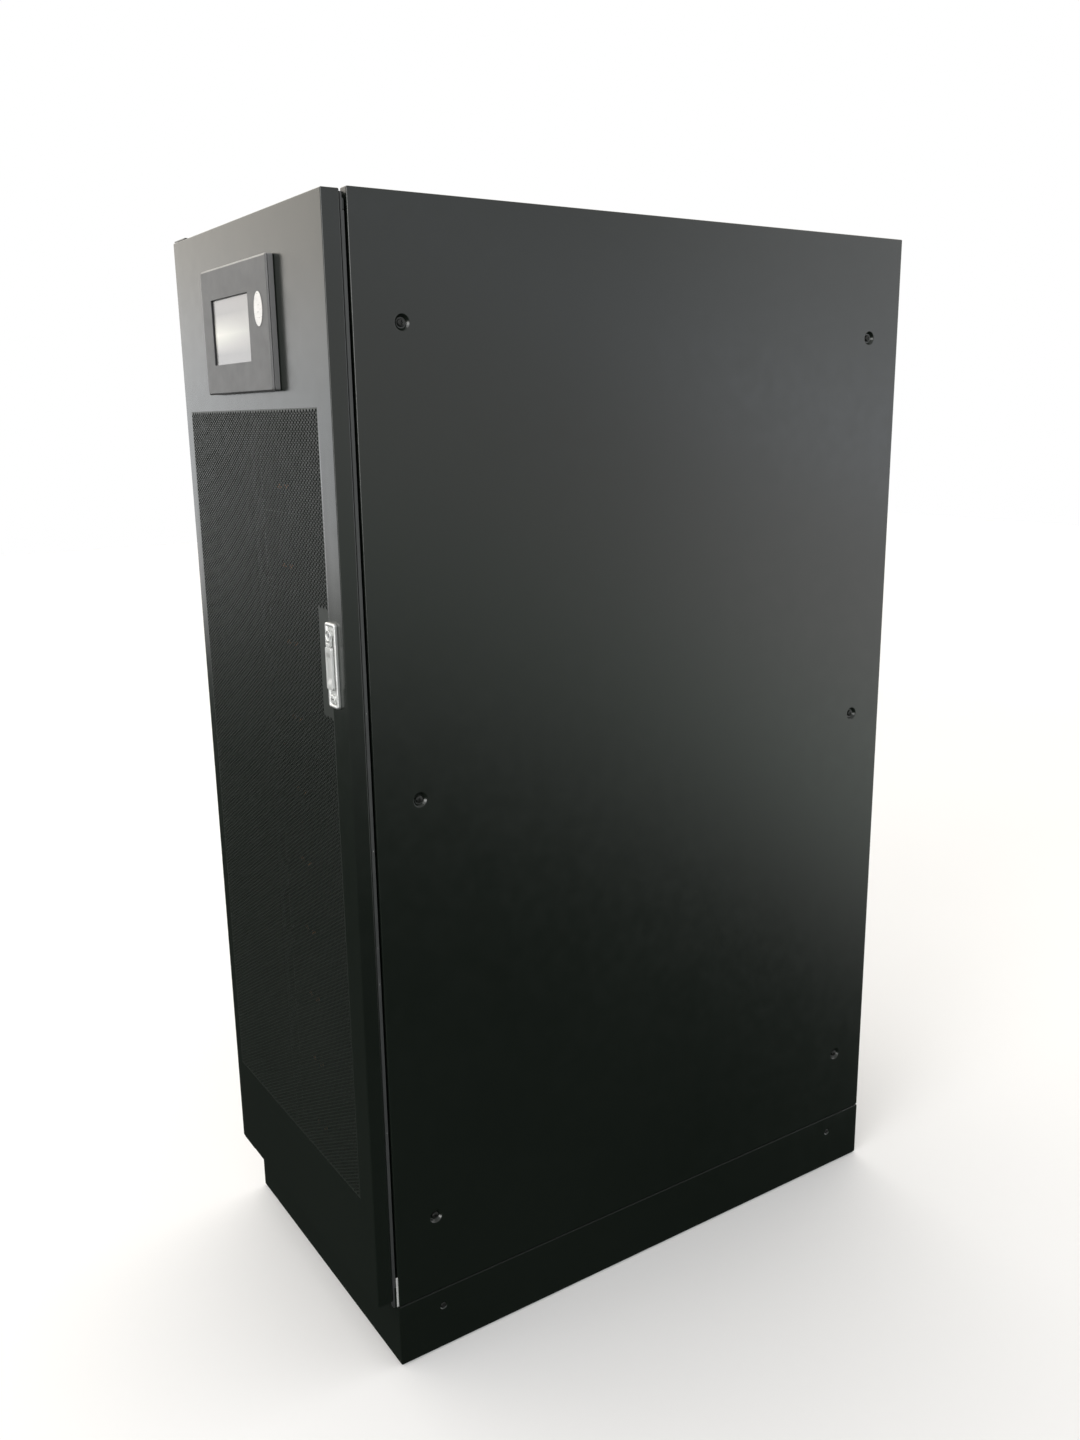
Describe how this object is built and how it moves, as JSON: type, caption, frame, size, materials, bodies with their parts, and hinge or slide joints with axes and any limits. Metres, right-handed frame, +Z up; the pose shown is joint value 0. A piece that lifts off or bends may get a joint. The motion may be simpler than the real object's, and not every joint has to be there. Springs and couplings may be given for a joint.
{
  "type": "battery rack cabinet",
  "caption": "Tall free-standing battery rack cabinet with a ventilated hinged front door, display, swing handle, screwed side covers and stacked battery modules.",
  "frame": {"origin": "Centre of the overall footprint, on the floor under the plinth.", "axes": "+Z up; -Y is the front, where the door and the display are; +X is the handle side."},
  "size_m": [0.6, 1.1134, 1.8],
  "materials": {
    "powder_black": "fine-texture satin powder coat",
    "powder_mesh": "fine-texture satin powder coat on perforated sheet",
    "zinc_steel": "zinc plated",
    "handle_chrome": "satin chrome",
    "bezel_plastic": "fine matt moulding texture",
    "screen_glass": "glossy screen with a pale reflection",
    "badge_silver": "bright anodised, blank",
    "gasket_rubber": "closed-cell foam",
    "module_case": "painted case",
    "copper_bar": "bare copper",
    "fan_plastic": "moulded",
    "switch_black": "moulded",
    "button_green": "moulded, gloss",
    "board_green": "solder mask"
  },
  "bodies": {
    "cabinet": {"base_frame": "powder_black", "left_skirt": "powder_black", "right_skirt": "powder_black", "front_skirt": "powder_black", "rear_skirt": "powder_black", "floor_tray": "powder_black", "cable_gland_plate": "powder_black", "post_front_left": "powder_black", "post_front_right": "powder_black", "post_rear_left": "powder_black", "post_rear_right": "powder_black", "roof_tray": "powder_black", "left_side_cover": "powder_black", "right_side_cover": "powder_black", "rear_cover": "powder_black", "hinge_bracket_upper": "powder_black", "hinge_bracket_lower": "powder_black", "rack_rail_left": "zinc_steel", "rack_rail_right": "zinc_steel", "module_guide_left": "zinc_steel", "module_guide_right": "zinc_steel", "battery_module_1": "module_case", "battery_module_2": "module_case", "battery_module_3": "module_case", "battery_module_4": "module_case", "battery_module_5": "module_case", "battery_module_6": "module_case", "battery_module_7": "module_case", "battery_module_8": "module_case", "battery_module_9": "module_case", "battery_module_10": "module_case", "control_box": "module_case", "busbar_positive": "copper_bar", "busbar_negative": "copper_bar", "fan_housing_left": "fan_plastic", "fan_housing_right": "fan_plastic"},
    "door": {"door_shell": "powder_black", "door_mesh": "powder_mesh", "door_gasket": "gasket_rubber", "hinge_pin_upper": "zinc_steel", "hinge_pin_lower": "zinc_steel", "display_housing": "bezel_plastic", "display_board": "board_green", "touch_screen": "screen_glass", "display_bezel": "bezel_plastic", "oval_badge": "badge_silver", "handle_plate": "handle_chrome", "rod_guide_upper": "bezel_plastic", "rod_guide_lower": "bezel_plastic"},
    "spindle": {"handle_spindle": "handle_chrome"},
    "lever": {"handle_lever": "handle_chrome"},
    "key_lock": {"lock_cylinder": "zinc_steel"},
    "upper_rod": {"lock_rod_upper": "zinc_steel"},
    "lower_rod": {"lock_rod_lower": "zinc_steel"},
    "breaker": {"breaker_lever": "switch_black"},
    "button": {"start_button": "button_green"},
    "rotor_left": {"fan_rotor_left": "fan_plastic"},
    "rotor_right": {"fan_rotor_right": "fan_plastic"}
  },
  "joints": [
    {"name": "door_swing", "type": "hinge", "parent": "cabinet", "child": "door", "pos_m": [-0.2915, -0.53475, 0.95], "axis": [0, 0, -1], "range_deg": [0, 120]},
    {"name": "handle_turn", "type": "hinge", "parent": "door", "child": "spindle", "pos_m": [0.2645, -0.54325, 1.211], "axis": [0, 1, 0], "range_deg": [0, 90]},
    {"name": "handle_lift", "type": "hinge", "parent": "spindle", "child": "lever", "pos_m": [0.2645, -0.55045, 1.199], "axis": [-1, 0, 0], "range_deg": [0, 25]},
    {"name": "key_turn", "type": "hinge", "parent": "door", "child": "key_lock", "pos_m": [0.2645, -0.54325, 1.119], "axis": [0, 1, 0], "range_deg": [0, 90]},
    {"name": "upper_rod_slide", "type": "slide", "parent": "door", "child": "upper_rod", "axis": [0, 0, -1], "range_m": [0, 0.0145]},
    {"name": "lower_rod_slide", "type": "slide", "parent": "door", "child": "lower_rod", "axis": [0, 0, 1], "range_m": [0, 0.0145]},
    {"name": "breaker_toggle", "type": "hinge", "parent": "cabinet", "child": "breaker", "pos_m": [-0.12, -0.44275, 1.55468], "axis": [1, 0, 0], "range_deg": [0, 50]},
    {"name": "button_press", "type": "slide", "parent": "cabinet", "child": "button", "axis": [0, 1, 0], "range_m": [0, 0.0025], "stiffness_N_per_m": 400},
    {"name": "fan_left_spin", "type": "hinge", "parent": "cabinet", "child": "rotor_left", "pos_m": [-0.09, 0.25675, 1.7762], "axis": [0, 0, 1], "continuous": true},
    {"name": "fan_right_spin", "type": "hinge", "parent": "cabinet", "child": "rotor_right", "pos_m": [0.09, 0.25675, 1.7762], "axis": [0, 0, 1], "continuous": true}
  ],
  "couplings": [
    {"joint": "upper_rod_slide", "follows": "handle_turn", "m_per_rad": 0.009},
    {"joint": "lower_rod_slide", "follows": "handle_turn", "m_per_rad": 0.009}
  ]
}
